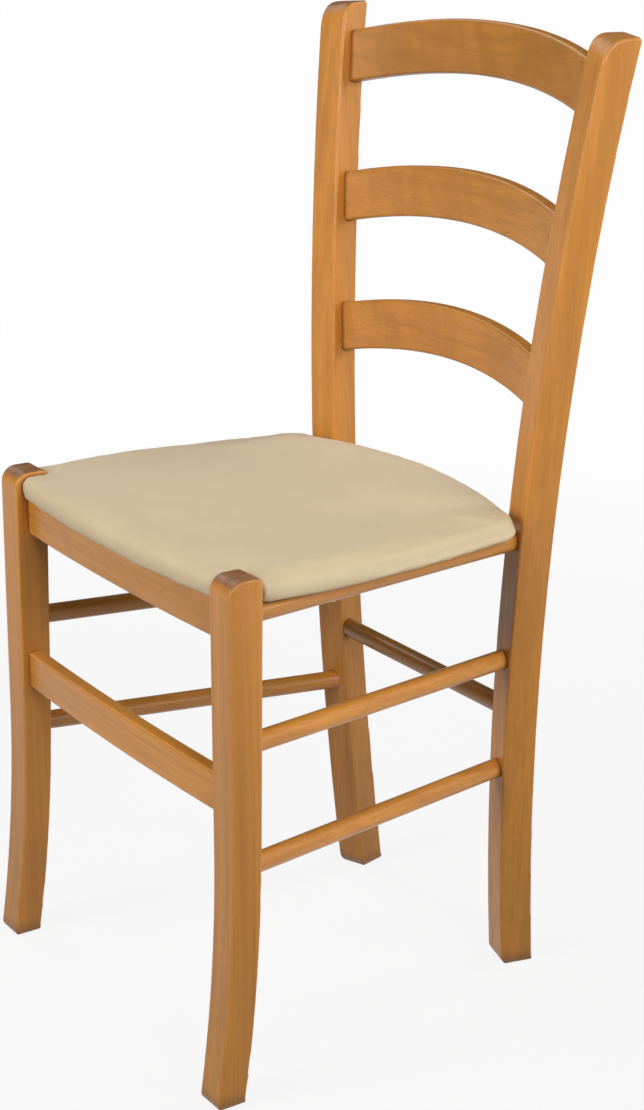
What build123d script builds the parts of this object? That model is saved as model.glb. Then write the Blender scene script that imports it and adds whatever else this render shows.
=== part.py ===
from build123d import *
from math import asin, atan2, cos, degrees, hypot, radians, sin, sqrt, tan
import os

# Ladder-back dining chair of wood with an upholstered seat pad, in millimetres.
# The floor is z = 0, +Z is up, the sitter faces -Y and +X is the sitter's left.

# Front legs: straight down to the knee, then swept forward like a sabre.
leg_height = 473.0
leg_horn = 24.5
leg_width = 31.3
leg_depth_top = 33.0
leg_depth_knee = 29.5
leg_depth_foot = 28.0
leg_knee_height = 235.0
leg_kick = 18.0
leg_stance = 410.0
leg_splay = 0.5
leg_front_y = -203.06
leg_top_front_round = 14.0
leg_top_back_round = 7.0
leg_foot_front_round = 6.0
leg_foot_back_round = 5.0
leg_foot_side_round = 5.5

# Back posts: one long arc each, turned inwards and leaning outwards.
post_height = 879.0
post_width = 31.5
post_depth = 32.5
post_turn = 13.7
post_lean = 4.24
post_foot_x = 125.2
post_foot_y = 161.0
post_top_set = 36.9
post_hollow = 29.3
post_top_outer_round = 22.0
post_top_inner_round = 14.0
post_top_fall = 25.0
post_top_back_round = 3.5
post_foot_front_round = 13.0
post_foot_back_round = 5.0
post_foot_side_round = 8.0

# Softened long edges of the legs and posts.
arris = 2.5

# Back slats: boards bent to one radius, with arched edges, let whole into the posts.
slat_radius = 586.0
slat_thickness = 14.0
slat_setback = 11.7
slat_tenon = 14.0
slat_round = 3.0
top_slat_drop = 49.0
top_slat_height = 49.5
top_slat_arch = 24.0
middle_slat_drop = 3.2
middle_slat_height = 48.0
middle_slat_arch = 21.5
bottom_slat_rise = 124.2
bottom_slat_height = 48.0
bottom_slat_arch = 18.7

# Turned rungs and round seat rails with turned-down tenons.
rung_diameter = 18.0
tenon_diameter = 11.0
tenon_length = 16.0
upper_rung_front_z = 325.0
upper_rung_rear_z = 320.5
lower_rung_front_z = 215.5
lower_rung_rear_z = 209.3
rear_rung_z = 266.5
rear_rung_forward = 1.7
seat_rail_drop = 2.5
rear_rail_wall = 3.0

# Front seat rail and front stretcher: flat boards bowed towards the front.
rail_height = 35.8
rail_thickness = 16.0
rail_setback = 12.4
rail_bow = 5.5
rail_tenon_wall = 1.0
rail_tenon_thickness = 9.0
rail_tenon_rise = 2.0
stretcher_bottom_z = 259.8
stretcher_height = 35.4
stretcher_thickness = 14.0
stretcher_setback = 8.4
stretcher_bow = 4.5
stretcher_tenon_height = 24.0
stretcher_tenon_thickness = 7.0
board_round = 2.5

# Fits of the joints.
glue_gap = 0.1
end_gap = 1.0
cope_reach = 8.0

# Seat pad: plywood board, foam, stretched cover and a dust cloth below.
cover_thickness = 2.0
dust_cloth_thickness = 0.5
board_thickness = 12.0
board_margin = 1.0
pad_leg_gap = 0.8
pad_notch_round = 4.0
dust_cloth_inset = 38.0
dust_cloth_lap = 7.0
pad_front_reach = 5.2
pad_front_bow = 11.0
pad_corner_radius = 28.0
pad_side_inset = 1.0
pad_side_bulge = 3.0
pad_side_bulge_y = -87.8
pad_post_gap = 3.0
pad_back_end_in = 4.8
pad_back_corner_out = 23.0
pad_back_corner_forward = 16.3
pad_side_back_out = 33.2
pad_side_back_forward = 44.8
pad_back_bow = 23.5
pad_low_tuck = 3.5
pad_waist_rise = 8.0
pad_top_tuck = 5.0
pad_crown_rise = 24.6
pad_crown_radius = 5000.0
pad_crown_y = -85.0
pad_rim_round = 9.0

# Screws that hold the pad down through the side seat rails.
screw_diameter = 4.0
screw_head_diameter = 8.0
screw_head_height = 3.0
screw_counterbore = 4.0
screw_bite = 9.0
screw_reach = 84.0
screw_gap = 0.2


# Heights of the seat and the slats. The seat lies below the leg tops, the top slat below the post tops,
# the bottom slat above the seat and the middle slat a little below halfway.
seat_z = leg_height - leg_horn
top_slat_z = post_height - top_slat_drop
bottom_slat_z = seat_z + bottom_slat_rise
middle_slat_z = (top_slat_z + bottom_slat_z) / 2 - middle_slat_drop

# Reference planes and points.
splay = radians(leg_splay)
turn = radians(post_turn)
lean = radians(post_lean)

leg_foot_x = leg_stance / 2 - leg_width / 2
leg_plane = Plane(origin=(leg_foot_x, 0, 0), x_dir=(0, 1, 0), z_dir=(cos(splay), 0, sin(splay)))
leg_trim = leg_width / 2 * tan(splay)

post_plane = Plane(
    origin=(post_foot_x, post_foot_y, 0),
    x_dir=(sin(turn), cos(turn), 0),
    z_dir=(cos(turn) * cos(lean), -sin(turn) * cos(lean), -sin(lean)),
)
post_trim = post_width / 2 * tan(lean)
post_rise = post_height / cos(lean)
post_chord = hypot(post_top_set, post_rise)
post_radius = post_chord**2 / (8 * post_hollow) + post_hollow / 2
post_center_h = post_top_set / 2 + (post_radius - post_hollow) * post_rise / post_chord
post_center_v = post_rise / 2 - (post_radius - post_hollow) * post_top_set / post_chord


def post_h(v, set_back):
    """Place along the post's depth, at height v up the post, of a line set back from its centre."""
    radius = post_radius - set_back
    return post_center_h - sqrt(radius**2 - (v - post_center_v) ** 2)


def post_point(z, set_back, outward):
    """Point of the left post at height z, measured from its centre line."""
    v = (z + outward * sin(lean)) / cos(lean)
    return post_plane.from_local_coords((post_h(v, set_back), v, outward))


def post_rake(z):
    """Angle by which the post leans back at height z."""
    v = z / cos(lean)
    slope = (v - post_center_v) / sqrt(post_radius**2 - (v - post_center_v) ** 2)
    return atan2(slope * cos(turn) - sin(lean) * sin(turn), cos(lean))


def leg_depth(z):
    """Depth of the front leg at height z above the knee."""
    share = (z - leg_knee_height) / (leg_height - leg_knee_height)
    return leg_depth_knee + (leg_depth_top - leg_depth_knee) * share


def leg_point(z, set_back):
    """Point on the left front leg's centre plane, set back from its front face."""
    return leg_plane.from_local_coords((leg_front_y + set_back, z / cos(splay), 0))


# Blanks of the front legs, before the joints are cut.
with BuildPart() as leg_blank_left:
    with BuildSketch(leg_plane) as leg_side:
        with BuildLine():
            shin = Line((leg_front_y, leg_height), (leg_front_y, leg_knee_height))
            sabre = TangentArc(shin @ 1, (leg_front_y - leg_kick, -leg_trim), tangent=shin % 1)
            sole = Line(sabre @ 1, sabre @ 1 + Vector(leg_depth_foot, 0))
            calf = Line(
                (leg_front_y + leg_depth_top, leg_height), (leg_front_y + leg_depth_knee, leg_knee_height)
            )
            TangentArc(calf @ 1, sole @ 1, tangent=calf % 1)
            Line(shin @ 0, calf @ 0)
        make_face()
        fillet(leg_side.vertices().group_by(Axis.Y)[-1].sort_by(Axis.X)[0], radius=leg_top_front_round)
        fillet(leg_side.vertices().group_by(Axis.Y)[-1].sort_by(Axis.X)[-1], radius=leg_top_back_round)
        fillet(leg_side.vertices().group_by(Axis.Y)[0].sort_by(Axis.X)[0], radius=leg_foot_front_round)
        fillet(leg_side.vertices().group_by(Axis.Y)[0].sort_by(Axis.X)[-1], radius=leg_foot_back_round)
    extrude(amount=leg_width / 2, both=True)
    leg_cheeks = leg_blank_left.faces().sort_by(Axis.X)
    fillet(leg_cheeks[0].edges() + leg_cheeks[-1].edges(), radius=arris)
    # Seen from the front, the foot is rounded at both sides.
    with BuildSketch(Plane(leg_plane.origin, x_dir=leg_plane.z_dir, z_dir=-leg_plane.x_dir)) as leg_front:
        with Locations((0, -leg_trim)):
            Rectangle(leg_width, leg_height + leg_width, align=(Align.CENTER, Align.MIN))
        fillet(leg_front.vertices().group_by(Axis.Y)[0], radius=leg_foot_side_round)
    extrude(amount=leg_height, both=True, mode=Mode.INTERSECT)
    split(bisect_by=Plane.XY, keep=Keep.TOP)

with BuildPart() as leg_blank_right:
    mirror(leg_blank_left.part, about=Plane.YZ)

# Blanks of the back posts.
post_front = -post_depth / 2
post_back = post_depth / 2
with BuildPart() as post_blank_left:
    with BuildSketch(post_plane) as post_side:
        with BuildLine():
            face = ThreePointArc(
                (post_h(-post_trim, post_front), -post_trim),
                (post_h(post_rise / 2, post_front), post_rise / 2),
                (post_h(post_rise, post_front), post_rise),
            )
            spine = ThreePointArc(
                (post_h(-post_trim, post_back), -post_trim),
                (post_h(post_rise / 2, post_back), post_rise / 2),
                (post_h(post_rise, post_back), post_rise),
            )
            Line(face @ 0, spine @ 0)
            Line(face @ 1, spine @ 1)
        make_face()
        fillet(post_side.vertices().group_by(Axis.Y)[-1].sort_by(Axis.X)[-1], radius=post_top_back_round)
        fillet(post_side.vertices().group_by(Axis.Y)[0].sort_by(Axis.X)[0], radius=post_foot_front_round)
        fillet(post_side.vertices().group_by(Axis.Y)[0].sort_by(Axis.X)[-1], radius=post_foot_back_round)
    extrude(amount=post_width / 2, both=True)
    # The top is rounded off at the front, further back on the outer cheek than on the inner one.
    brow_v = post_rise - post_top_fall
    brow_start = Vector(post_h(brow_v, post_front), brow_v)
    cheek_rounds = [(post_width / 2, post_top_outer_round), (-post_width / 2, post_top_inner_round)]
    for outward, top_round in cheek_rounds:
        brow_end = face @ 1 + Vector(top_round, 0)
        with BuildSketch(post_plane.offset(outward)):
            with BuildLine():
                brow = Spline(brow_start, brow_end, tangents=[face % 1, Vector(1, 0)])
                lift = Line(brow @ 1, brow @ 1 + Vector(0, post_depth))
                over = Line(lift @ 1, brow @ 0 + Vector(-post_depth, 2 * post_depth))
                Line(over @ 1, brow @ 0)
            make_face()
    loft(mode=Mode.SUBTRACT)
    post_cheeks = post_blank_left.faces().sort_by(Axis(post_plane.origin, post_plane.z_dir))
    fillet(post_cheeks[0].edges() + post_cheeks[-1].edges(), radius=arris)
    # Seen from the front, the foot is rounded at both sides.
    with BuildSketch(Plane(post_plane.origin, x_dir=post_plane.z_dir, z_dir=-post_plane.x_dir)) as post_view:
        with Locations((0, -post_trim)):
            Rectangle(post_width, post_rise + post_width, align=(Align.CENTER, Align.MIN))
        fillet(post_view.vertices().group_by(Axis.Y)[0], radius=post_foot_side_round)
    extrude(amount=post_height, both=True, mode=Mode.INTERSECT)
    split(bisect_by=Plane.XY, keep=Keep.TOP)

with BuildPart() as post_blank_right:
    mirror(post_blank_left.part, about=Plane.YZ)


def bent_slat(z, height, arch, gap, reach):
    """Slat bent backwards to one radius, arched at both edges, let into the posts by reach."""
    seat = post_point(z, post_front + slat_setback, -post_width / 2)
    rake = post_rake(z)
    bow = slat_radius - sqrt(slat_radius**2 - seat.X**2)
    middle = (0, seat.Y + bow * cos(rake), seat.Z - bow * sin(rake))
    half_angle = degrees(asin((seat.X + reach) / slat_radius))
    plan = Plane(origin=middle, x_dir=(1, 0, 0), z_dir=(0, sin(rake), cos(rake)))
    front_view = Plane(origin=middle, x_dir=(1, 0, 0), z_dir=(0, -cos(rake), sin(rake)))
    with BuildPart() as slat:
        with BuildSketch(plan):
            with BuildLine():
                inner = CenterArc((0, -slat_radius), slat_radius - gap, 90 - half_angle, 2 * half_angle)
                outer = CenterArc(
                    (0, -slat_radius), slat_radius + slat_thickness + gap, 90 - half_angle, 2 * half_angle
                )
                Line(inner @ 0, outer @ 0)
                Line(inner @ 1, outer @ 1)
            make_face()
        extrude(amount=height + arch, both=True)
        with BuildSketch(front_view):
            with BuildLine():
                crest = ThreePointArc(
                    (-seat.X, height / 2 + gap), (0, height / 2 + arch + gap), (seat.X, height / 2 + gap)
                )
                belly = ThreePointArc(
                    (-seat.X, -height / 2 - gap), (0, arch - height / 2 - gap), (seat.X, -height / 2 - gap)
                )
                right_top = Line(crest @ 1, crest @ 1 + (crest % 1) * (slat_thickness + 2 * reach))
                right_low = Line(belly @ 1, belly @ 1 + (belly % 1) * (slat_thickness + 2 * reach))
                left_top = Line(crest @ 0, crest @ 0 - (crest % 0) * (slat_thickness + 2 * reach))
                left_low = Line(belly @ 0, belly @ 0 - (belly % 0) * (slat_thickness + 2 * reach))
                Line(right_top @ 1, right_low @ 1)
                Line(left_top @ 1, left_low @ 1)
            make_face()
        extrude(amount=slat_radius / 2, both=True, mode=Mode.INTERSECT)
        ends = slat.faces().sort_by(Axis.X)
        end_edges = ends[0].edges() + ends[-1].edges()
        side_edges = [edge for edge in slat.edges() if edge not in end_edges]
        fillet([edge for edge in side_edges if edge.length > 2 * slat_thickness], radius=slat_round)
    return slat.part


with BuildPart() as back_slat_top:
    add(bent_slat(top_slat_z, top_slat_height, top_slat_arch, 0, slat_tenon))
with BuildPart() as back_slat_middle:
    add(bent_slat(middle_slat_z, middle_slat_height, middle_slat_arch, 0, slat_tenon))
with BuildPart() as back_slat_bottom:
    add(bent_slat(bottom_slat_z, bottom_slat_height, bottom_slat_arch, 0, slat_tenon))

# The slot mortises follow the slats, a glue gap larger all round.
slat_slots = [
    bent_slat(top_slat_z, top_slat_height, top_slat_arch, glue_gap, slat_tenon + end_gap),
    bent_slat(middle_slat_z, middle_slat_height, middle_slat_arch, glue_gap, slat_tenon + end_gap),
    bent_slat(bottom_slat_z, bottom_slat_height, bottom_slat_arch, glue_gap, slat_tenon + end_gap),
]

# Axes of the round pieces, from the face that they leave to the face that they enter.
seat_rail_z = seat_z - dust_cloth_thickness - rung_diameter / 2
seat_rail_start = leg_point(seat_rail_z, leg_depth(seat_rail_z))
seat_rail_end = post_point(seat_rail_z - seat_rail_drop, post_front, 0)
upper_rung_start = leg_point(upper_rung_front_z, leg_depth(upper_rung_front_z))
upper_rung_end = post_point(upper_rung_rear_z, post_front, 0)
lower_rung_start = leg_point(lower_rung_front_z, leg_depth_knee)
lower_rung_end = post_point(lower_rung_rear_z, post_front, 0)

rear_rung_end = post_point(rear_rung_z, 0, -post_width / 2)
rear_rung_y = post_point(rear_rung_z, 0, 0).Y - rear_rung_forward
rear_rail_z = seat_rail_end.Z - tenon_diameter - rear_rail_wall
rear_rail_end = post_point(rear_rail_z, 0, -post_width / 2)
rear_rail_y = post_point(rear_rail_z, 0, 0).Y


def turned_bar(start, end, blanks):
    """Round bar coped to the two pieces that it joins, with a turned tenon at each end."""
    axis = (end - start).normalized()
    length = (end - start).length
    with BuildPart() as bar:
        with BuildSketch(Plane(origin=start - axis * cope_reach, z_dir=axis)):
            Circle(rung_diameter / 2)
        extrude(amount=length + 2 * cope_reach)
        for blank in blanks:
            add(blank, mode=Mode.SUBTRACT)
        with BuildSketch(Plane(origin=start - axis * tenon_length, z_dir=axis)):
            Circle(tenon_diameter / 2)
        extrude(amount=length + 2 * tenon_length)
    return bar.part


left_blanks = [leg_blank_left.part, post_blank_left.part]
post_blanks = [post_blank_left.part, post_blank_right.part]

# Screw places on the left seat rail; the right ones mirror them.
seat_rail_axis = (seat_rail_end - seat_rail_start).normalized()
screw_points = [seat_rail_start + seat_rail_axis * screw_reach, seat_rail_end - seat_rail_axis * screw_reach]
screw_seat_z = seat_rail_z - seat_rail_drop / 2 - rung_diameter / 2 + screw_counterbore
board_bottom_z = seat_z + cover_thickness
screw_tip_z = board_bottom_z + screw_bite

with BuildPart() as side_seat_rail_left:
    add(turned_bar(seat_rail_start, seat_rail_end, left_blanks))
    with BuildSketch(Plane.XY.offset(screw_seat_z)):
        with Locations(*[(p.X, p.Y) for p in screw_points]):
            Circle(screw_diameter / 2 + screw_gap)
    extrude(amount=rung_diameter, mode=Mode.SUBTRACT)
    with BuildSketch(Plane.XY.offset(screw_seat_z)):
        with Locations(*[(p.X, p.Y) for p in screw_points]):
            Circle(screw_head_diameter / 2 + screw_gap)
    extrude(amount=-rung_diameter, mode=Mode.SUBTRACT)

with BuildPart() as side_seat_rail_right:
    mirror(side_seat_rail_left.part, about=Plane.YZ)

with BuildPart() as upper_side_rung_left:
    add(turned_bar(upper_rung_start, upper_rung_end, left_blanks))
with BuildPart() as upper_side_rung_right:
    mirror(upper_side_rung_left.part, about=Plane.YZ)

with BuildPart() as lower_side_rung_left:
    add(turned_bar(lower_rung_start, lower_rung_end, left_blanks))
with BuildPart() as lower_side_rung_right:
    mirror(lower_side_rung_left.part, about=Plane.YZ)

with BuildPart() as rear_rung:
    add(
        turned_bar(
            Vector(-rear_rung_end.X, rear_rung_y, rear_rung_z),
            Vector(rear_rung_end.X, rear_rung_y, rear_rung_z),
            post_blanks,
        )
    )

with BuildPart() as rear_seat_rail:
    add(
        turned_bar(
            Vector(-rear_rail_end.X, rear_rail_y, rear_rail_z),
            Vector(rear_rail_end.X, rear_rail_y, rear_rail_z),
            post_blanks,
        )
    )


def bowed_board(bottom_z, height, thickness, setback, bow):
    """Flat board between the front legs, bowed forwards in plan and coped to the legs."""
    reach = leg_foot_x - leg_width / 2 + cope_reach
    front_y = leg_front_y + setback
    rear_y = front_y + thickness
    with BuildPart() as board:
        with BuildSketch(Plane.XY.offset(bottom_z)):
            with BuildLine():
                front = ThreePointArc((-reach, front_y), (0, front_y - bow), (reach, front_y))
                rear = ThreePointArc((-reach, rear_y), (0, rear_y - bow), (reach, rear_y))
                Line(front @ 0, rear @ 0)
                Line(front @ 1, rear @ 1)
            make_face()
        extrude(amount=height)
        fillet(board.edges().filter_by(lambda edge: edge.length > reach), radius=board_round)
        add(leg_blank_left.part, mode=Mode.SUBTRACT)
        add(leg_blank_right.part, mode=Mode.SUBTRACT)
    return board.part


# Tenons of the two boards: the part inside the left leg, and its mortise.
rail_bottom_z = seat_z - rail_height
rail_tenon_z = rail_bottom_z + rail_tenon_rise
rail_tenon_height = seat_rail_z - tenon_diameter / 2 - rail_tenon_wall - rail_tenon_z
rail_tenon_y = leg_front_y + rail_setback + rail_thickness / 2
rail_shoulder_x = leg_point(rail_tenon_z, 0).X - leg_width / 2
stretcher_tenon_z = stretcher_bottom_z + (stretcher_height - stretcher_tenon_height) / 2
stretcher_tenon_y = leg_front_y + stretcher_setback + stretcher_thickness / 2
stretcher_shoulder_x = leg_point(stretcher_tenon_z, 0).X - leg_width / 2

with BuildPart() as front_seat_rail:
    add(bowed_board(rail_bottom_z, rail_height, rail_thickness, rail_setback, rail_bow))
    with BuildSketch(Plane.XY.offset(rail_tenon_z)):
        with Locations((rail_shoulder_x, rail_tenon_y), (-rail_shoulder_x, rail_tenon_y)):
            Rectangle(2 * tenon_length, rail_tenon_thickness)
    extrude(amount=rail_tenon_height)

with BuildPart() as front_stretcher:
    add(
        bowed_board(
            stretcher_bottom_z, stretcher_height, stretcher_thickness, stretcher_setback, stretcher_bow
        )
    )
    with BuildSketch(Plane.XY.offset(stretcher_tenon_z)):
        with Locations((stretcher_shoulder_x, stretcher_tenon_y), (-stretcher_shoulder_x, stretcher_tenon_y)):
            Rectangle(2 * tenon_length, stretcher_tenon_thickness)
    extrude(amount=stretcher_tenon_height)

# Front legs with their sockets and mortises.
leg_sockets = [
    (seat_rail_start, seat_rail_axis),
    (upper_rung_start, (upper_rung_end - upper_rung_start).normalized()),
    (lower_rung_start, (lower_rung_end - lower_rung_start).normalized()),
]
with BuildPart() as front_leg_left:
    add(leg_blank_left.part)
    for mouth, axis in leg_sockets:
        with BuildSketch(Plane(origin=mouth - axis * (tenon_length + end_gap), z_dir=axis)):
            Circle(tenon_diameter / 2 + glue_gap)
        extrude(amount=tenon_length + end_gap + cope_reach, mode=Mode.SUBTRACT)
    with BuildSketch(Plane.XY.offset(rail_tenon_z - glue_gap)):
        with Locations((rail_shoulder_x, rail_tenon_y)):
            Rectangle(2 * (tenon_length + end_gap), rail_tenon_thickness + 2 * glue_gap)
    extrude(amount=rail_tenon_height + 2 * glue_gap, mode=Mode.SUBTRACT)
    with BuildSketch(Plane.XY.offset(stretcher_tenon_z - glue_gap)):
        with Locations((stretcher_shoulder_x, stretcher_tenon_y)):
            Rectangle(2 * (tenon_length + end_gap), stretcher_tenon_thickness + 2 * glue_gap)
    extrude(amount=stretcher_tenon_height + 2 * glue_gap, mode=Mode.SUBTRACT)

with BuildPart() as front_leg_right:
    mirror(front_leg_left.part, about=Plane.YZ)

# Back posts with their sockets and slots.
to_middle = Vector(-1, 0, 0)
post_sockets = [
    (seat_rail_end, -seat_rail_axis),
    (upper_rung_end, (upper_rung_start - upper_rung_end).normalized()),
    (lower_rung_end, (lower_rung_start - lower_rung_end).normalized()),
    (Vector(rear_rung_end.X, rear_rung_y, rear_rung_z), to_middle),
    (Vector(rear_rail_end.X, rear_rail_y, rear_rail_z), to_middle),
]
with BuildPart() as back_post_left:
    add(post_blank_left.part)
    for mouth, axis in post_sockets:
        with BuildSketch(Plane(origin=mouth - axis * (tenon_length + end_gap), z_dir=axis)):
            Circle(tenon_diameter / 2 + glue_gap)
        extrude(amount=tenon_length + end_gap + cope_reach, mode=Mode.SUBTRACT)
    for slot in slat_slots:
        add(slot, mode=Mode.SUBTRACT)

with BuildPart() as back_post_right:
    mirror(back_post_left.part, about=Plane.YZ)


# The pad fills the frame, so its plan is measured from the legs and the posts.
leg_inner_x = leg_point(seat_z, 0).X - leg_width / 2
leg_back_y = leg_front_y + leg_depth(leg_height)
post_face = post_point(seat_z, post_front, 0)
pad_front_y = leg_front_y - pad_front_reach
pad_side_x = leg_inner_x + leg_width - pad_side_inset
corner_cut = pad_corner_radius * (1 - sqrt(0.5))


def pad_outline(inset):
    """Plan of the pad, drawn in by inset: eight arcs, the same on both sides."""
    brow_y = pad_front_y + pad_front_bow + inset
    front = (pad_side_x - pad_corner_radius - inset, brow_y)
    corner = (pad_side_x - corner_cut - inset, brow_y + corner_cut)
    side_front = (pad_side_x - inset, brow_y + pad_corner_radius)
    side = (pad_side_x + pad_side_bulge - inset, pad_side_bulge_y)
    side_back = (post_face.X + pad_side_back_out - inset, post_face.Y - pad_side_back_forward - inset)
    back_corner = (post_face.X + pad_back_corner_out - inset, post_face.Y - pad_back_corner_forward - inset)
    back = (post_face.X - pad_back_end_in - inset, post_face.Y - pad_post_gap - inset)
    back_middle = (0, post_face.Y - pad_post_gap + pad_back_bow - inset)
    with BuildLine() as outline:
        ThreePointArc((-front[0], front[1]), (0, pad_front_y + inset), front)
        ThreePointArc(front, corner, side_front)
        ThreePointArc(side_front, side, side_back)
        ThreePointArc(side_back, back_corner, back)
        ThreePointArc(back, back_middle, (-back[0], back[1]))
        ThreePointArc((-back[0], back[1]), (-back_corner[0], back_corner[1]), (-side_back[0], side_back[1]))
        ThreePointArc((-side_back[0], side_back[1]), (-side[0], side[1]), (-side_front[0], side_front[1]))
        ThreePointArc((-side_front[0], side_front[1]), (-corner[0], corner[1]), (-front[0], front[1]))
    return outline.line


def pad_sections(skin):
    """Heights and tucks of the pad's sides, drawn in by the skin: low edge, waist and top."""
    return [
        (seat_z + skin, pad_low_tuck + skin),
        (seat_z + pad_waist_rise, skin),
        (seat_z + pad_crown_rise + pad_top_tuck, pad_top_tuck + skin),
    ]


def pad_form(skin):
    """Crowned pad with drawn-in sides, notched round the two front legs."""
    notch_x = leg_inner_x - pad_leg_gap - skin
    notch_y = leg_back_y + pad_leg_gap + skin
    notch_size = leg_width + leg_depth_top
    with BuildPart() as form:
        for height, tuck in pad_sections(skin):
            with BuildSketch(Plane.XY.offset(height)):
                add(pad_outline(tuck))
                make_face()
        loft()
        with Locations((0, pad_crown_y, seat_z + pad_crown_rise - pad_crown_radius)):
            Sphere(pad_crown_radius - skin, mode=Mode.INTERSECT)
        fillet(form.faces().sort_by(Axis.Z)[-1].edges(), radius=pad_rim_round - skin)
        with BuildSketch(Plane.XY.offset(seat_z)):
            with Locations((notch_x + notch_size / 2, notch_y - notch_size / 2)):
                RectangleRounded(notch_size, notch_size, pad_notch_round - skin)
            with Locations((-notch_x - notch_size / 2, notch_y - notch_size / 2)):
                RectangleRounded(notch_size, notch_size, pad_notch_round - skin)
        extrude(amount=pad_crown_rise, mode=Mode.SUBTRACT)
    return form.part


board_inset = pad_low_tuck + cover_thickness + board_margin
screw_places = [(side * p.X, p.Y) for p in screw_points for side in (1, -1)]

with BuildPart() as seat_board:
    with BuildSketch(Plane.XY.offset(board_bottom_z)) as board_plan:
        add(pad_outline(board_inset))
        make_face()
        with Locations(
            (leg_inner_x - board_inset + leg_width, leg_back_y + board_inset - leg_width),
            (-leg_inner_x + board_inset - leg_width, leg_back_y + board_inset - leg_width),
        ):
            Rectangle(2 * leg_width, 2 * leg_width, mode=Mode.SUBTRACT)
    extrude(amount=board_thickness)
    with BuildSketch(Plane.XY.offset(board_bottom_z)):
        with Locations(*screw_places):
            Circle(screw_diameter / 2 + screw_gap)
    extrude(amount=screw_bite + end_gap, mode=Mode.SUBTRACT)

# Board without its screw holes, which the foam wraps round.
with BuildPart() as board_blank:
    with BuildSketch(Plane.XY.offset(board_bottom_z)):
        add(board_plan.sketch_local)
    extrude(amount=board_thickness)

with BuildPart() as seat_foam:
    add(pad_form(cover_thickness))
    add(board_blank.part, mode=Mode.SUBTRACT)

with BuildPart() as seat_cover:
    add(pad_form(0))
    add(pad_form(cover_thickness), mode=Mode.SUBTRACT)
    with BuildSketch(Plane.XY.offset(seat_z)):
        add(pad_outline(dust_cloth_inset + dust_cloth_lap))
        make_face()
        with Locations(*screw_places):
            Circle(screw_diameter / 2 + screw_gap)
    extrude(amount=cover_thickness, mode=Mode.SUBTRACT)

with BuildPart() as seat_dust_cloth:
    with BuildSketch(Plane.XY.offset(seat_z - dust_cloth_thickness)):
        add(pad_outline(dust_cloth_inset))
        make_face()
        with Locations(*screw_places):
            Circle(screw_diameter / 2 + screw_gap, mode=Mode.SUBTRACT)
    extrude(amount=dust_cloth_thickness)

with BuildPart() as seat_screws:
    with BuildSketch(Plane.XY.offset(screw_seat_z)):
        with Locations(*screw_places):
            Circle(screw_diameter / 2)
    extrude(amount=screw_tip_z - screw_seat_z)
    with BuildSketch(Plane.XY.offset(screw_seat_z)):
        with Locations(*screw_places):
            Circle(screw_head_diameter / 2)
    extrude(amount=-screw_head_height)


# Labels and files, one for each piece.
pieces = {
    "front_leg_left": front_leg_left,
    "front_leg_right": front_leg_right,
    "back_post_left": back_post_left,
    "back_post_right": back_post_right,
    "back_slat_top": back_slat_top,
    "back_slat_middle": back_slat_middle,
    "back_slat_bottom": back_slat_bottom,
    "front_seat_rail": front_seat_rail,
    "side_seat_rail_left": side_seat_rail_left,
    "side_seat_rail_right": side_seat_rail_right,
    "rear_seat_rail": rear_seat_rail,
    "front_stretcher": front_stretcher,
    "upper_side_rung_left": upper_side_rung_left,
    "upper_side_rung_right": upper_side_rung_right,
    "lower_side_rung_left": lower_side_rung_left,
    "lower_side_rung_right": lower_side_rung_right,
    "rear_rung": rear_rung,
    "seat_board": seat_board,
    "seat_foam": seat_foam,
    "seat_cover": seat_cover,
    "seat_dust_cloth": seat_dust_cloth,
    "seat_screws": seat_screws,
}
os.makedirs("parts", exist_ok=True)
for name, piece in pieces.items():
    piece.part.label = name
    export_step(piece.part, f"parts/{name}.step")
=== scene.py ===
# %% [markdown]
# # A ladder-back dining chair
# The chair is a frame of stained and lacquered beech: two sabre front legs, two bent back posts, three
# bent slats, bowed boards at the front and turned rungs. An upholstered pad sits in the frame, notched
# round the front legs. The solids come from the part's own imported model, so every rigid piece is there
# at its real size. What is left to do here is the finish: wood, cover, light and camera.

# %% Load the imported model
from math import cos, pi, radians, sin

import bmesh
import bpy
from mathutils import Matrix, Vector
from mathutils.geometry import intersect_point_line


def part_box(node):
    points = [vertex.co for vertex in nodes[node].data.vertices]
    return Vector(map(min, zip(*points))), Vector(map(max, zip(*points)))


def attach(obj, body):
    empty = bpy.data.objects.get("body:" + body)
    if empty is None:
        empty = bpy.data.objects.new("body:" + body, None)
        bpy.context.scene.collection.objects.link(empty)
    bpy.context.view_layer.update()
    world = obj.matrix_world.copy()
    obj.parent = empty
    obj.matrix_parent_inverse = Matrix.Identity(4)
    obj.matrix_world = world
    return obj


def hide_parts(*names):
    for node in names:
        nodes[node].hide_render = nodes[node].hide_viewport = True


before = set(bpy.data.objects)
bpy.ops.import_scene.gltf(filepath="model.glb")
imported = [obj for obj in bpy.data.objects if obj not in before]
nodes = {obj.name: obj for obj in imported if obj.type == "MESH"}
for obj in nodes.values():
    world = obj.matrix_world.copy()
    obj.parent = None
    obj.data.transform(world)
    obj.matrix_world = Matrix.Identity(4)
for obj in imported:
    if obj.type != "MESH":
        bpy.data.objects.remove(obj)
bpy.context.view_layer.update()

scene = bpy.context.scene
print("pieces in the packed model:", len(nodes))

# %% [markdown]
# ## Camera
# A photograph of furniture is taken with a long lens from a little above the seat. The camera can be set
# by eye, or worked out from the outlines of known pieces. Here it is worked out, so that each edge of
# the chair falls where the photograph has it: a place, three turns and a focal length.

# %% Place the camera
camera_place = Vector((1.6208, -1.0834, 1.0562))
camera_azimuth = radians(55.68)
camera_elevation = radians(18.484)
camera_roll = radians(0.258)
sensor_long_side = 36.0
image_height = 1110
focal_pixels = 2236.7

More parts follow.
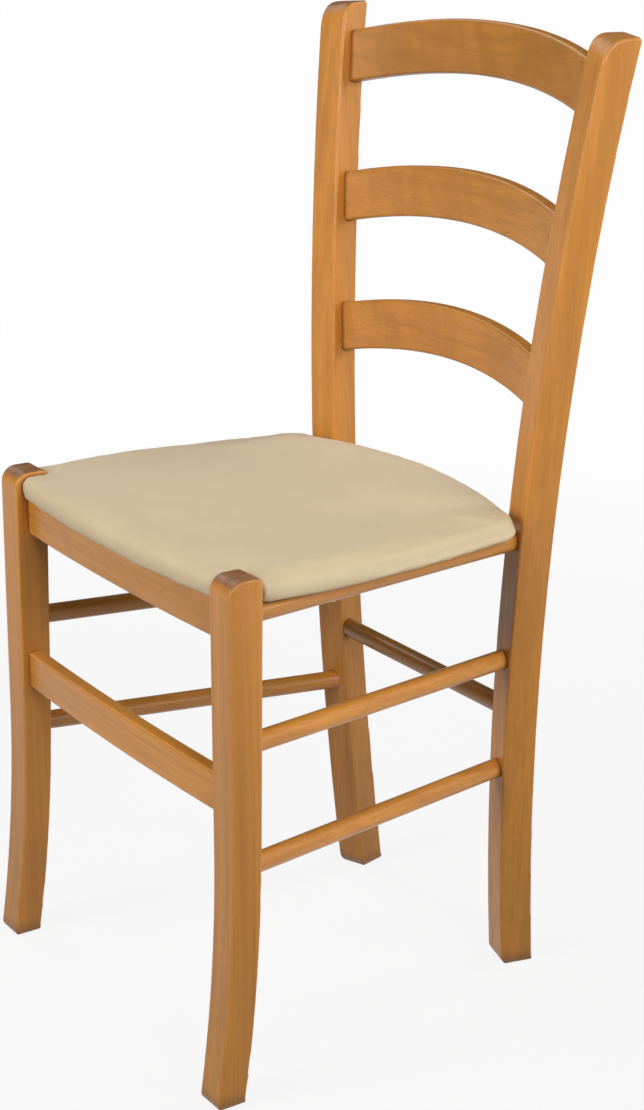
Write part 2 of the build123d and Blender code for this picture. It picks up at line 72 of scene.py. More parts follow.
backward = Vector((
    sin(camera_azimuth) * cos(camera_elevation),
    -cos(camera_azimuth) * cos(camera_elevation),
    sin(camera_elevation),
))
rightward = Vector((cos(camera_azimuth), sin(camera_azimuth), 0))
rightward = Matrix.Rotation(camera_roll, 3, backward) @ rightward
upward = backward.cross(rightward)

camera_data = bpy.data.cameras.new("camera")
camera_data.sensor_width = sensor_long_side
camera_data.lens = focal_pixels * sensor_long_side / image_height
camera = bpy.data.objects.new("camera", camera_data)
turned_axes = Matrix((rightward, upward, backward)).transposed().to_4x4()
camera.matrix_world = Matrix.Translation(camera_place) @ turned_axes
scene.collection.objects.link(camera)
scene.camera = camera
print("lens in millimetres:", round(camera_data.lens, 2))

# %% [markdown]
# ## Helpers for node trees
# Materials are small graphs. They could be laid out by hand in the editor, but a script can be read and
# run again. Each helper makes one kind of node and then sets or links its inputs. A finish that many
# pieces share is a group with named sockets, built once and placed in each material.

# %% Node helpers
def feed(tree, socket, value):
    """Links an output to a socket, or sets the socket to a plain value."""
    if isinstance(value, bpy.types.NodeSocket):
        tree.links.new(value, socket)
    else:
        socket.default_value = value


def put(tree, kind, settings=None, **inputs):
    """Makes a node, sets its settings and feeds its inputs; _ in a name stands for a space."""
    node = tree.nodes.new(kind)
    for name, value in (settings or {}).items():
        setattr(node, name, value)
    for name, value in inputs.items():
        feed(tree, node.inputs[name.replace("_", " ")], value)
    return node


def maths(tree, operation, first, second=0.0):
    """One Math node; each of its two values is a number or an output."""
    node = put(tree, "ShaderNodeMath", {"operation": operation})
    feed(tree, node.inputs[0], first)
    feed(tree, node.inputs[1], second)
    return node.outputs[0]


def scaled(tree, vector, factors):
    """Multiplies a vector by three factors."""
    node = put(tree, "ShaderNodeVectorMath", {"operation": "MULTIPLY"})
    feed(tree, node.inputs[0], vector)
    feed(tree, node.inputs[1], factors)
    return node.outputs[0]


def remap(tree, value, low, high, to_low=0.0, to_high=1.0):
    """Smooth step from low to high."""
    node = put(
        tree, "ShaderNodeMapRange", {"interpolation_type": "SMOOTHSTEP"},
        Value=value, From_Min=low, From_Max=high, To_Min=to_low, To_Max=to_high,
    )
    return node.outputs["Result"]


def blend_colours(tree, share, first, second):
    """Mixes two colours by share; a Mix node keeps its colours in sockets 6 and 7."""
    node = put(tree, "ShaderNodeMix", {"data_type": "RGBA"})
    feed(tree, node.inputs[0], share)
    feed(tree, node.inputs[6], first)
    feed(tree, node.inputs[7], second)
    return node.outputs[2]


print("node helpers: feed, put, maths, scaled, remap, blend_colours")


# %% Material and group helpers
def new_group(name, inputs, outputs):
    """Starts a shader node group; inputs and outputs are pairs of a name and a socket type."""
    tree = bpy.data.node_groups.new(name, "ShaderNodeTree")
    for side, sockets in (("INPUT", inputs), ("OUTPUT", outputs)):
        for socket_name, kind in sockets:
            tree.interface.new_socket(
                name=socket_name, in_out=side, socket_type="NodeSocket" + kind
            )
    entry = tree.nodes.new("NodeGroupInput").outputs
    leave = tree.nodes.new("NodeGroupOutput").inputs
    return tree, entry, leave


def use_group(tree, group, **inputs):
    """Places a group in a material, feeds its inputs and gives its outputs."""
    return put(tree, "ShaderNodeGroup", {"node_tree": group}, **inputs).outputs


def new_material(name):
    """An empty material with a Principled shader; gives the material, its tree and the shader."""
    material = bpy.data.materials.new(name)
    material.use_nodes = True
    tree = material.node_tree
    return material, tree, tree.nodes["Principled BSDF"]


def dress(mesh, material):
    """Gives a mesh one material and no other."""
    mesh.materials.clear()
    mesh.materials.append(material)


print("material helpers: new_group, use_group, new_material, dress")

# %% [markdown]
# ## Beech grain
# Beech has fine straight fibres, broad soft bands where the growth rings are cut, and thousands of short
# brown flecks, the rays. All three are noise that is stretched along the grain. Bent wood also shows a
# slanted figure, broad and soft, which is the same noise in turned coordinates. The stain takes
# unevenly, so a slow noise shifts the colour between orange and pinkish brown. Ends of the wood drink
# more stain and come out darker, with the rings in them. A photograph of wood would repeat and stretch
# on the bends, so the grain is built from noise. The group takes coordinates whose Z runs along it.

# %% Noises of the grain
grain, grain_in, grain_out = new_group(
    "beech_grain",
    [("Along", "Vector"), ("Normal", "Vector"), ("Tone", "Float"), ("Ripple", "Float"), ("End", "Float")],
    [("Color", "Color"), ("Roughness", "Float"), ("Height", "Float")],
)
figure_slant = (radians(38), radians(24), 0)
ring_cells = (430, 60, 60)


def noise(tree, vector, detail, roughness=0.5, distortion=0.0):
    """Plain noise at a scale of one."""
    return put(
        tree, "ShaderNodeTexNoise", Vector=vector, Scale=1.0, Detail=detail,
        Roughness=roughness, Distortion=distortion,
    ).outputs["Fac"]


def stretched_noise(tree, vector, across, along, detail, roughness=0.5, distortion=0.0):
    """Noise with so many cells per metre across and along the grain."""
    cells = scaled(tree, vector, (across, across, along))
    return noise(tree, cells, detail, roughness, distortion)


stick = grain_in["Along"]
slanted = put(grain, "ShaderNodeMapping", Vector=stick, Rotation=figure_slant).outputs[0]
fibres = stretched_noise(grain, stick, across=420, along=5, detail=3, roughness=0.6)
bands = stretched_noise(grain, stick, across=70, along=1.6, detail=2, distortion=0.5)
flecks = stretched_noise(grain, stick, across=1100, along=150, detail=1)
ripples = stretched_noise(grain, slanted, across=10, along=32, detail=2, distortion=0.9)
stain = stretched_noise(grain, stick, across=9, along=4, detail=2)
rings = noise(grain, scaled(grain, stick, ring_cells), detail=2)
print("grain noises: fibres, bands, flecks, ripples, stain, rings")

# %% Colours of the grain
orange = (0.63, 0.258, 0.038, 1)
brown = (0.42, 0.165, 0.026, 1)
rosy = (0.58, 0.245, 0.052, 1)
fleck_brown = (0.28, 0.098, 0.016, 1)
end_brown = (0.25, 0.112, 0.046, 1)
# The dark end colour below also colours the painted shade in the joints' corners and near the floor.
end_grain_and_shade_dark = (0.125, 0.055, 0.026, 1)

body = blend_colours(grain, remap(grain, stain, 0.35, 0.68), orange, rosy)
body = blend_colours(grain, remap(grain, bands, 0.36, 0.72, 0, 0.62), body, brown)
body = blend_colours(grain, remap(grain, fibres, 0.40, 0.72, 0, 0.45), body, brown)
curl = maths(grain, "MULTIPLY", remap(grain, ripples, 0.42, 0.66), grain_in["Ripple"])
body = blend_colours(grain, curl, body, brown)
fleck_mask = remap(grain, flecks, 0.60, 0.72, 0, 0.16)
body = blend_colours(grain, fleck_mask, body, fleck_brown)

turned = put(grain, "ShaderNodeSeparateXYZ", Vector=grain_in["Normal"])
end_mask = remap(grain, maths(grain, "ABSOLUTE", turned.outputs["Z"]), 0.35, 0.85)
end_wood = blend_colours(grain, remap(grain, rings, 0.38, 0.64), end_brown, end_grain_and_shade_dark)
end_share = maths(grain, "MULTIPLY", end_mask, grain_in["End"])
body = blend_colours(grain, end_share, body, end_wood)
toned = put(grain, "ShaderNodeHueSaturation", Value=grain_in["Tone"], Color=body)
grain.links.new(toned.outputs["Color"], grain_out["Color"])
print("beech grain nodes for colour:", len(grain.nodes))

# %% Shine and relief of the grain
end_dullness = 0.25
fibre_relief = 0.4
dullness = maths(grain, "MULTIPLY", end_mask, end_dullness)
dullness = maths(grain, "ADD", remap(grain, fibres, 0.3, 0.7, 0.34, 0.44), dullness)
grain.links.new(dullness, grain_out["Roughness"])
relief = maths(grain, "SUBTRACT", maths(grain, "MULTIPLY", fibres, fibre_relief), fleck_mask)
grain.links.new(relief, grain_out["Height"])
print("beech grain nodes:", len(grain.nodes))

# %% [markdown]
# ## One stick of wood for each piece
# No two sticks of a chair come from the same spot of a plank. Each piece gets its own material from the
# same group, with its own brightness and its own place in the grain; that brightness also paints light and
# shade, darker on the far and rear rungs and lighter on the near ones. A Mapping node turns the grain so
# that it runs up the legs and posts, along the slats and boards, and along the rungs. Ambient Occlusion
# finds the inner corners of the joints, which are darkened with painted shade, and the feet are darkened
# near the floor, partly scuffing and partly painted shade. A thin coat on the shader is the satin lacquer;
# the turned rungs take more of it.

# %% Wood material
turn_to_grain = {
    "up": (0, 0, 0),
    "across": (0, radians(-90), 0),
    "back": (radians(90), 0, 0),
}
plain_end_stain = 0.9
end_stain = {"back_post_left": 0.3, "back_post_right": 0.75}
# The feet are darkened near the floor, partly scuffing and partly painted shade.
scuff_and_shade_full = 0.002
scuff_and_shade_height = 0.018
scuff_and_shade_share = 0.5
# Painted shade in the inner corners of the joints: how far it reaches, how dark it gets, and its samples.
painted_shade_reach = 0.005
painted_shade_share = 0.65
painted_shade_samples = 8


def lacquered_wood(name, way, tone_and_shade, ripple, gloss, shift):
    """Stained beech under satin lacquer, with its grain along one way of the chair."""
    material, tree, shader = new_material(name + "_wood")
    place = tree.nodes.new("ShaderNodeTexCoord").outputs
    turn = turn_to_grain[way]
    along = put(
        tree, "ShaderNodeMapping", Vector=place["Object"], Rotation=turn, Location=(shift, 0, shift)
    ).outputs[0]
    facing = put(
        tree, "ShaderNodeMapping", {"vector_type": "NORMAL"}, Vector=place["Normal"], Rotation=turn
    ).outputs[0]
    wood = use_group(
        tree, grain, Along=along, Normal=facing, Tone=tone_and_shade, Ripple=ripple,
        End=end_stain.get(name, plain_end_stain),
    )
    height = put(tree, "ShaderNodeSeparateXYZ", Vector=place["Object"]).outputs["Z"]
    # Darker towards the floor: partly scuffing, partly painted shade on the feet.
    scuff_and_shade = remap(tree, height, scuff_and_shade_full, scuff_and_shade_height, scuff_and_shade_share, 0)
    colour = blend_colours(tree, scuff_and_shade, wood["Color"], end_grain_and_shade_dark)
    # Painted shade: Ambient Occlusion darkens the inner corners of the joints towards the dark end colour.
    painted_corner_shade = put(
        tree, "ShaderNodeAmbientOcclusion", {"samples": painted_shade_samples}, Distance=painted_shade_reach
    ).outputs["AO"]
    colour = blend_colours(tree, remap(tree, painted_corner_shade, 0.25, 0.85, painted_shade_share, 0), colour, end_grain_and_shade_dark)
    relief = put(tree, "ShaderNodeBump", Strength=0.12, Distance=0.0004, Height=wood["Height"])
    tree.links.new(colour, shader.inputs["Base Color"])
    tree.links.new(wood["Roughness"], shader.inputs["Roughness"])
    tree.links.new(relief.outputs[0], shader.inputs["Normal"])
    shader.inputs["Specular IOR Level"].default_value = 0.3
    shader.inputs["Coat Weight"].default_value = gloss
    shader.inputs["Coat Roughness"].default_value = 0.25
    return material


print("ways of the grain:", ", ".join(turn_to_grain))

# %% Dress the wooden pieces
flat_gloss = 0.2
turned_gloss = 0.5
straight = 0.06
# Each piece's brightness is partly its own colour and partly painted light and shade: the far and rear
# rungs are darkened where they lie in shade, and the near rungs are lightened where they catch the light.
wooden_pieces = [
    ("front_leg_left", "up", 1.14, straight, flat_gloss),
    ("front_leg_right", "up", 1.12, straight, flat_gloss),
    ("back_post_left", "up", 1.05, straight, flat_gloss),
    ("back_post_right", "up", 1.02, straight, flat_gloss),
    ("back_slat_top", "across", 0.86, 0.45, flat_gloss),
    ("back_slat_middle", "across", 0.98, 0.40, flat_gloss),
    ("back_slat_bottom", "across", 0.94, 0.40, flat_gloss),
    ("front_seat_rail", "across", 1.06, 0.30, flat_gloss),
    ("front_stretcher", "across", 1.26, 0.15, flat_gloss),
    ("rear_seat_rail", "across", 0.95, straight, turned_gloss),
    ("rear_rung", "across", 0.54, straight, turned_gloss),
    ("side_seat_rail_left", "back", 1.06, straight, turned_gloss),
    ("side_seat_rail_right", "back", 0.97, straight, turned_gloss),
    ("upper_side_rung_left", "back", 1.26, straight, turned_gloss),
    ("upper_side_rung_right", "back", 0.79, straight, turned_gloss),
    ("lower_side_rung_left", "back", 1.38, straight, turned_gloss),
    ("lower_side_rung_right", "back", 1.02, straight, turned_gloss),
]
shift_step = 0.37
for count, (name, way, tone_and_shade, ripple, gloss) in enumerate(wooden_pieces):
    dress(nodes[name].data, lacquered_wood(name, way, tone_and_shade, ripple, gloss, count * shift_step))
print("wooden pieces:", len(wooden_pieces))

# %% [markdown]
# ## Cover cloth
# The cover is a smooth, tightly woven upholstery cloth in cream. Its threads are under a millimetre wide,
# so from a step away they only soften the light. The weave is the product of two sine waves. It is made
# in the three planes of the chair's axes and shared out by the surface's direction, so it needs no
# unwrapping and follows the top as well as the sides.

# %% Plain weave group
weave, weave_in, weave_out = new_group(
    "plain_weave",
    [("Place", "Vector"), ("Normal", "Vector"), ("Threads", "Float")],
    [("Height", "Float"), ("Mottle", "Float")],
)
mottles_per_metre = 26
place = put(weave, "ShaderNodeSeparateXYZ", Vector=weave_in["Place"]).outputs
facing = put(weave, "ShaderNodeSeparateXYZ", Vector=weave_in["Normal"]).outputs
phase = maths(weave, "MULTIPLY", weave_in["Threads"], 2 * pi)
waves = {}
for axis in "XYZ":
    waves[axis] = maths(weave, "SINE", maths(weave, "MULTIPLY", place[axis], phase))
height = 0.0
for axis, first, second in (("X", "Y", "Z"), ("Y", "X", "Z"), ("Z", "X", "Y")):
    share = maths(weave, "POWER", maths(weave, "ABSOLUTE", facing[axis]), 2)
    crossing = maths(weave, "MULTIPLY", waves[first], waves[second])
    height = maths(weave, "ADD", height, maths(weave, "MULTIPLY", share, crossing))
weave.links.new(height, weave_out["Height"])
mottle = put(
    weave, "ShaderNodeTexNoise", Vector=weave_in["Place"], Scale=mottles_per_metre, Detail=3, Roughness=0.55
)
weave.links.new(mottle.outputs["Fac"], weave_out["Mottle"])
print("weave nodes:", len(weave.nodes))


# %% Cloth materials
def woven_cloth(name, pale, deep, threads, strength, roughness):
    """Woven cloth whose colour drifts a little between two shades."""
    material, tree, shader = new_material(name)
    place = tree.nodes.new("ShaderNodeTexCoord").outputs
    cloth = use_group(tree, weave, Place=place["Object"], Normal=place["Normal"], Threads=threads)
    drift = remap(tree, cloth["Mottle"], 0.3, 0.7)
    valley = remap(tree, cloth["Height"], -0.8, 0.4, 0.25, 0.0)
    colour = blend_colours(tree, valley, blend_colours(tree, drift, pale, deep), deep)
    relief = put(tree, "ShaderNodeBump", Strength=strength, Distance=0.0003, Height=cloth["Height"])
    tree.links.new(colour, shader.inputs["Base Color"])
    tree.links.new(relief.outputs[0], shader.inputs["Normal"])
    shader.inputs["Roughness"].default_value = roughness
    shader.inputs["Sheen Weight"].default_value = 0.15
    shader.inputs["Sheen Roughness"].default_value = 0.4
    return material


cream = (0.695, 0.555, 0.343, 1)
deep_cream = (0.665, 0.525, 0.322, 1)
black = (0.020, 0.020, 0.021, 1)
deep_black = (0.012, 0.012, 0.013, 1)
cream_cloth = woven_cloth("cream_cloth", cream, deep_cream, threads=1250, strength=0.35, roughness=0.62)
black_cloth = woven_cloth("black_cloth", black, deep_black, threads=700, strength=0.5, roughness=0.85)
print("cloths:", cream_cloth.name, black_cloth.name)

# %% [markdown]
# ## Board and screws
# The board inside the pad is plywood: thin sheets of wood glued crosswise, which show as stripes on its
# edge. A wave along Z gives the sheets. The four screws are zinc plated steel with a dull, slightly
# mottled shine, which a fine noise in colour and roughness gives.

# %% Board material
sheet_pale = (0.52, 0.36, 0.19, 1)
sheet_deep = (0.36, 0.23, 0.11, 1)
fibre_brown = (0.30, 0.18, 0.08, 1)


def plywood(name, sheet_thickness):
    """Glued sheets of pale wood, striped on the edge."""
    material, tree, shader = new_material(name)
    place = tree.nodes.new("ShaderNodeTexCoord").outputs
    height = put(tree, "ShaderNodeSeparateXYZ", Vector=place["Object"]).outputs["Z"]
    sheets = maths(tree, "SINE", maths(tree, "MULTIPLY", height, pi / sheet_thickness))
    fibre = stretched_noise(tree, place["Object"], across=300, along=8, detail=3)
    colour = blend_colours(tree, remap(tree, sheets, -0.3, 0.3), sheet_pale, sheet_deep)
    colour = blend_colours(tree, remap(tree, fibre, 0.4, 0.8, 0, 0.4), colour, fibre_brown)
    tree.links.new(colour, shader.inputs["Base Color"])
    tree.links.new(remap(tree, fibre, 0.3, 0.7, 0.6, 0.75), shader.inputs["Roughness"])
    return material


dress(nodes["seat_board"].data, plywood("board_plywood", 0.0015))
print("board dressed in", nodes["seat_board"].data.materials[0].name)

# %% Screw material
zinc_pale = (0.62, 0.61, 0.58, 1)
zinc_deep = (0.48, 0.47, 0.44, 1)
zinc_grains_per_metre = 900


def plated_steel(name):
    """Zinc plated steel with a mottled shine."""
    material, tree, shader = new_material(name)
    place = tree.nodes.new("ShaderNodeTexCoord").outputs
    mottling = put(
        tree, "ShaderNodeTexNoise", Vector=place["Object"], Scale=zinc_grains_per_metre, Detail=3
    ).outputs["Fac"]
    colour = blend_colours(tree, remap(tree, mottling, 0.3, 0.7), zinc_pale, zinc_deep)
    tree.links.new(colour, shader.inputs["Base Color"])
    tree.links.new(remap(tree, mottling, 0.3, 0.7, 0.28, 0.42), shader.inputs["Roughness"])
    shader.inputs["Metallic"].default_value = 1.0
    return material


screw_steel = plated_steel("screw_steel")
dress(nodes["seat_screws"].data, screw_steel)
print("screws dressed in", screw_steel.name)

# %% [markdown]
# ## Seat pad
# The pad is foam on a board, with the cover pulled over it and stapled below. A cushion modelled by hand
# tends to look like a bar of soap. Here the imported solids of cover, foam and board are copied, remeshed
# to even squares, filled out at the foot of the wall and towards the rear, and then blown up as cloth
# under pressure. The underside and the two notches round the legs are pinned, because there the cover
# is stapled down.

# %% Pad helpers
def copied_solid(name, *node_names):
    """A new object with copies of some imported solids, merged."""
    shell = bmesh.new()
    for node_name in node_names:
        shell.from_mesh(nodes[node_name].data)
    bmesh.ops.remove_doubles(shell, verts=shell.verts, dist=0.00001)
    mesh = bpy.data.meshes.new(name)
    shell.to_mesh(mesh)
    shell.free()
    piece = bpy.data.objects.new(name, mesh)
    scene.collection.objects.link(piece)
    return piece


def settle(piece):
    """Applies all modifiers of a piece."""
    shown = piece.evaluated_get(bpy.context.evaluated_depsgraph_get())
    mesh = bpy.data.meshes.new_from_object(shown)
    piece.modifiers.clear()
    spent = piece.data
    piece.data = mesh
    bpy.data.meshes.remove(spent)


def clamped(share):
    """Keeps a share between 0 and 1."""
    return min(max(share, 0), 1)


print("pad helpers: copied_solid, settle, clamped")

# %% Even squares over the pad
pad_voxel = 0.004
pad = copied_solid("seat_pad", "seat_cover", "seat_foam", "seat_board")
remesh = pad.modifiers.new("Remesh", "REMESH")
remesh.mode = "VOXEL"
remesh.voxel_size = pad_voxel
settle(pad)
print("pad faces after the remesh:", len(pad.data.polygons))

# %% Where the cover is held
notch_margin = 0.006
cover_low, cover_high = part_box("seat_cover")
underside = cover_low.z
pad_rear = cover_high.y
left_leg_low, left_leg_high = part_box("front_leg_left")


def at_leg(vertex):
    """True beside a front leg, where the cover is tucked into the notch."""
    beside = abs(vertex.co.x) > left_leg_low.x - notch_margin
    return beside and vertex.co.y < left_leg_high.y + notch_margin


def held(vertex):
    """True where the cover is stapled below or tucked round a leg."""
    return vertex.co.z < underside + pad_voxel or at_leg(vertex)


print("underside of the pad at", round(underside, 4))

# %% Fill the pad out
pad_wall_fill = 0.0026
pad_wall_height = 0.014
pad_wall_lean = 0.3
pad_draw_in = 0.0004
pad_rear_fill = 0.0036
pad_smoothings = 2
form = bmesh.new()
form.from_mesh(pad.data)
form.normal_update()
for vertex in form.verts:
    low_share = 1 - clamped((vertex.co.z - underside) / pad_wall_height)
    outward = Vector((vertex.normal.x, vertex.normal.y, 0))
    if not at_leg(vertex) and outward.length > pad_wall_lean:
        vertex.co += outward.normalized() * pad_wall_fill * low_share
form.normal_update()
free = [vertex for vertex in form.verts if not held(vertex)]
for vertex in free:
    vertex.co -= vertex.normal * pad_draw_in
for vertex in free:
    vertex.co.z += pad_rear_fill * clamped(vertex.co.y / pad_rear) * max(vertex.normal.z, 0)
for smoothing in range(pad_smoothings):
    bmesh.ops.smooth_vert(
        form, verts=free, factor=0.5, use_axis_x=True, use_axis_y=True, use_axis_z=True
    )
pinned = [vertex.index for vertex in form.verts if held(vertex)]
form.to_mesh(pad.data)
form.free()
print("pinned points:", len(pinned), "of", len(pad.data.vertices))

# %% Blow the pad up
pad_swell = 0.003
pad_pressure = 4.0
cloth_frames = 20


def inflate(piece, pinned, pressure, furthest):
    """Blows a closed mesh up as cloth; no point moves further than furthest."""
    start = [vertex.co.copy() for vertex in piece.data.vertices]
    piece.vertex_groups.new(name="pinned").add(pinned, 1.0, "REPLACE")
    cloth = piece.modifiers.new("Cloth", "CLOTH")
    cloth.settings.vertex_group_mass = "pinned"
    cloth.settings.use_pressure = True
    cloth.settings.uniform_pressure_force = pressure
    cloth.settings.effector_weights.gravity = 0
    for frame_number in range(1, cloth_frames + 1):
        scene.frame_set(frame_number)
    settle(piece)
    piece.vertex_groups.clear()
    for vertex, origin in zip(piece.data.vertices, start):
        move = vertex.co - origin
        if move.length > furthest:
            vertex.co = origin + move.normalized() * furthest
    scene.frame_set(1)


inflate(pad, pinned, pad_pressure, pad_swell)
print("pad height in metres:", round(max(vertex.co.z for vertex in pad.data.vertices), 4))

# %% Finish the pad
dress(pad.data, cream_cloth)
for face in pad.data.polygons:
    face.use_smooth = True
finer = pad.modifiers.new("Subdivision", "SUBSURF")
finer.levels = 1
finer.render_levels = 1
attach(pad, "root")
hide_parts("seat_cover", "seat_foam")
print("pad faces:", len(pad.data.polygons))

# %% [markdown]
# ## Under the seat
# A thin black cloth closes the underside and hides the edge of the cover. It is cut a little smaller than
# the seat, its edge is folded in as a hem, and it hangs slack between its staples. The sheet starts from
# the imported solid's lower face, which is inset for the hem and cut into small squares that can sag.

# %% Cut the dust cloth
hem_width = 0.012
cloth_square = 0.012
dust_cloth = copied_solid("seat_underside_cloth", "seat_dust_cloth")
cloth_low, cloth_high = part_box("seat_dust_cloth")
form = bmesh.new()
form.from_mesh(dust_cloth.data)
form.normal_update()
unwanted = [face for face in form.faces if face.normal.z > -0.5]
bmesh.ops.delete(form, geom=unwanted, context="FACES")
bmesh.ops.dissolve_faces(form, faces=form.faces[:], use_verts=False)
flat_area = sum(face.calc_area() for face in form.faces)
form.faces.ensure_lookup_table()
outline = [vertex.co.copy() for vertex in form.faces[0].verts]
sides = list(zip(outline, outline[1:] + outline[:1]))
bmesh.ops.inset_region(
    form, faces=form.faces[:], thickness=hem_width, use_even_offset=True, use_boundary=True
)
for axis, normal in enumerate((Vector((1, 0, 0)), Vector((0, 1, 0)))):
    place = cloth_low[axis] + cloth_square
    while place < cloth_high[axis]:
        whole = form.verts[:] + form.edges[:] + form.faces[:]
        bmesh.ops.bisect_plane(
            form, geom=whole, dist=1e-6, plane_co=normal * place, plane_no=normal
        )
        place += cloth_square
print("dust cloth corners:", len(outline), "area in square metres:", round(flat_area, 4))

# %% Let the dust cloth sag
hem_step = 0.0004
hem_tolerance = 1e-5
cloth_sag = 0.0022
sag_reach = 0.11


def edge_distance(point):
    """How far a point of the cloth lies from its nearest edge."""
    distances = []
    for start, end in sides:
        share = intersect_point_line(point, start, end)[1]
        distances.append((point - start.lerp(end, clamped(share))).length)
    return min(distances)


for vertex in form.verts:
    inward = edge_distance(vertex.co)
    if inward < hem_width + hem_tolerance:
        vertex.co.z -= hem_step
    else:
        slack = min((inward - hem_width) / sag_reach, 1)
        vertex.co.z -= cloth_sag * slack * slack * (3 - 2 * slack)
form.to_mesh(dust_cloth.data)
form.free()
dress(dust_cloth.data, black_cloth)
thick = dust_cloth.modifiers.new("Solidify", "SOLIDIFY")
thick.thickness = cloth_high.z - cloth_low.z
thick.offset = -1
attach(dust_cloth, "root")
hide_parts("seat_dust_cloth")
print("dust cloth faces:", len(dust_cloth.data.polygons))

# %% [markdown]
# Staples hold the hem. Each is a short bar of flat wire, and a gun never sets two at quite the same angle,
# so each gets a small turn of its own. They follow the outline of the cloth at an even step.

# %% Set the staples
staple_pitch = 0.030
staple_inset = 0.005
staple_size = (0.010, 0.0011, 0.0009)
staple_edge = 0.25 * staple_size[2]
staple_turn = radians(14)
staple_unevenness = 2.4
middle = (cloth_low + cloth_high) / 2
outline_length = sum((end - start).length for start, end in sides)
step = outline_length / round(outline_length / staple_pitch)
bar_form = Matrix.Diagonal((*staple_size, 1))
bars = bmesh.new()
walked = 0.0
placed = 0
for start, end in sides:
    run = (end - start).length
    way = (end - start).normalized()
    inward = Vector((-way.y, way.x, 0))
    if inward.dot(middle - start) < 0:
        inward.negate()
    while (placed + 0.5) * step < walked + run:
        spot = start + way * ((placed + 0.5) * step - walked) + inward * staple_inset
        angle = way.to_2d().angle_signed(Vector((1, 0))) + staple_turn * sin(placed * staple_unevenness)
        lift = Matrix.Translation(spot - Vector((0, 0, hem_step)))
        turn = Matrix.Rotation(angle, 4, "Z")
        bmesh.ops.create_cube(bars, size=1, matrix=lift @ turn @ bar_form)
        placed += 1
    walked += run
bmesh.ops.bevel(
    bars, geom=bars.edges[:], offset=staple_edge, affect="EDGES", segments=1, profile=0.5, material=-1
)
print("staples:", placed)

# %% Finish the staples
staple_mesh = bpy.data.meshes.new("seat_underside_staples")
bars.to_mesh(staple_mesh)
bars.free()
staples = bpy.data.objects.new("seat_underside_staples", staple_mesh)
scene.collection.objects.link(staples)
dress(staple_mesh, screw_steel)
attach(staples, "root")
print("staple faces:", len(staple_mesh.polygons))

# %% [markdown]
# ## Stage and light
# The chair stands on a plain pale floor. Seen by the camera and in reflections, the floor is mixed with
# plain white, less of it close to the chair, which keeps a soft shadow under the feet. To the light it is
# a middle grey, so that it doesn't throw too much light up at the rungs. Its lower side is clear, so that
# the seat can be looked at from below.

# %% Floor
floor_half = 30.0
floor_mesh = bpy.data.meshes.new("floor")
sheet = bmesh.new()
bmesh.ops.create_grid(sheet, x_segments=1, y_segments=1, size=floor_half)
sheet.to_mesh(floor_mesh)
sheet.free()
floor = bpy.data.objects.new("floor", floor_mesh)
scene.collection.objects.link(floor)
print("floor side in metres:", 2 * floor_half)

# %% Floor paint
floor_grey = (0.28, 0.28, 0.28, 1)
floor_pale = (0.85, 0.85, 0.85, 1)
white_near, white_far = 0.86, 0.985
near_reach, far_reach = 0.3, 2.0
floor_paint, tree, shader = new_material("floor_paint")
shader.inputs["Roughness"].default_value = 0.9
rays = tree.nodes.new("ShaderNodeLightPath").outputs
seen = maths(tree, "MAXIMUM", rays["Is Camera Ray"], rays["Is Glossy Ray"])
seen = maths(tree, "MAXIMUM", seen, rays["Is Transmission Ray"])
tree.links.new(blend_colours(tree, seen, floor_grey, floor_pale), shader.inputs["Base Color"])

from_middle = put(tree, "ShaderNodeVectorMath", {"operation": "LENGTH"})
tree.links.new(tree.nodes.new("ShaderNodeTexCoord").outputs["Object"], from_middle.inputs[0])
whiteness = remap(tree, from_middle.outputs["Value"], near_reach, far_reach, white_near, white_far)
white = put(tree, "ShaderNodeEmission", Color=(1, 1, 1, 1), Strength=1.0)
clear = tree.nodes.new("ShaderNodeBsdfTransparent")
below = tree.nodes.new("ShaderNodeNewGeometry").outputs["Backfacing"]


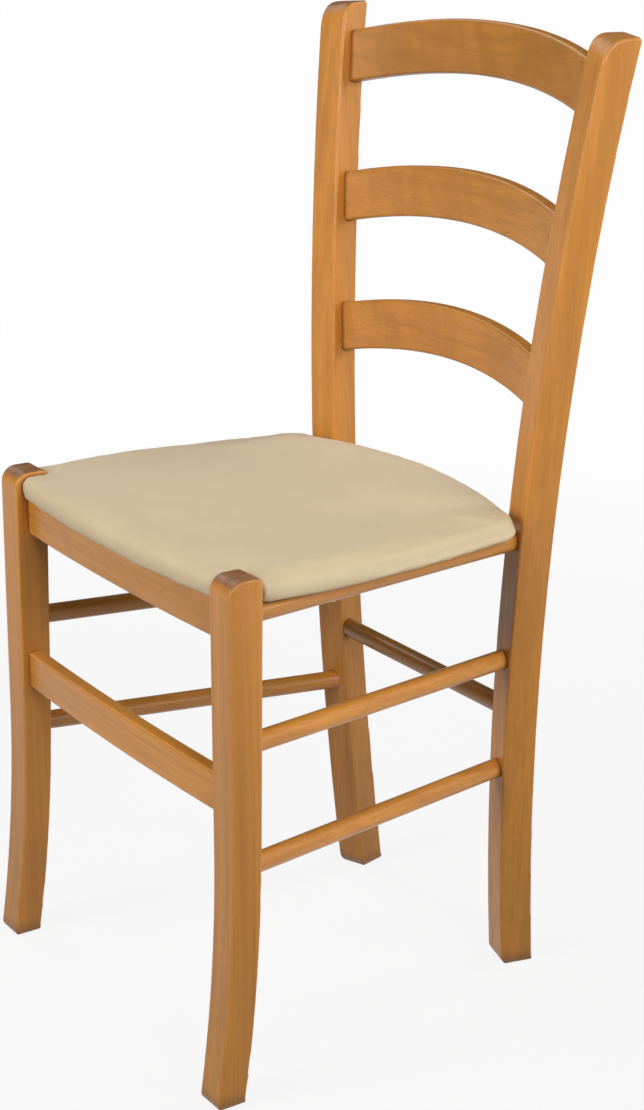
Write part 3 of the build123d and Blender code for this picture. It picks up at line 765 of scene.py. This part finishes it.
def blend_shaders(share, first, second):
    """Mixes two shaders of the floor by share."""
    node = tree.nodes.new("ShaderNodeMixShader")
    for socket, output in zip(node.inputs, (share, first, second)):
        tree.links.new(output, socket)
    return node.outputs[0]


paint = blend_shaders(maths(tree, "MULTIPLY", seen, whiteness), shader.outputs[0], white.outputs[0])
paint = blend_shaders(below, paint, clear.outputs[0])
tree.links.new(paint, tree.nodes["Material Output"].inputs["Surface"])
dress(floor_mesh, floor_paint)
print("floor paint nodes:", len(tree.nodes))

# %% [markdown]
# Furniture is lit from all round by large soft lamps, so that no side falls black. Here four stand about
# the chair, one hangs high at the picture's left, and one hangs over the seat. Each lamp but the last is
# narrowed to a cone, which keeps most of its light off the floor. The world adds very little.

# %% Lamps and world
lamp_size = 1.2
lamp_cone = 60
top_size = 1.5
top_cone = 180
world_strength = 0.05


def soft_light(name, place, aim_height, size, cone, power):
    """A large square lamp that faces the chair's middle line and lights a cone of so many degrees."""
    lamp = bpy.data.lights.new(name, "AREA")
    lamp.size = size
    lamp.energy = power
    lamp.spread = radians(cone)
    holder = bpy.data.objects.new(name, lamp)
    holder.location = place
    gaze = Vector((0, 0, aim_height)) - Vector(place)
    holder.rotation_euler = gaze.to_track_quat("-Z", "Y").to_euler()
    scene.collection.objects.link(holder)


soft_light("front_light", (-0.2, -2.4, 1.4), 0.74, lamp_size, lamp_cone, 5.8)
soft_light("side_light", (2.2, -0.3, 1.5), 0.85, lamp_size, lamp_cone, 5.2)
soft_light("rear_right_light", (2.0, 1.2, 1.5), 0.90, lamp_size, lamp_cone, 3.2)
soft_light("rear_light", (0.2, 2.5, 1.5), 0.8, lamp_size, lamp_cone, 4.5)
soft_light("left_light", (-2.2, -0.1, 2.2), 0.8, lamp_size, lamp_cone, 2.0)
soft_light("top_light", (0.1, -0.9, 2.6), 0.5, top_size, top_cone, 9)

world = bpy.data.worlds.new("studio")
scene.world = world
world.use_nodes = True
sky = world.node_tree.nodes["Background"]
sky.inputs["Color"].default_value = (1, 1, 1, 1)
sky.inputs["Strength"].default_value = world_strength
scene.view_settings.view_transform = "Standard"
print("lamps:", len(bpy.data.lights))
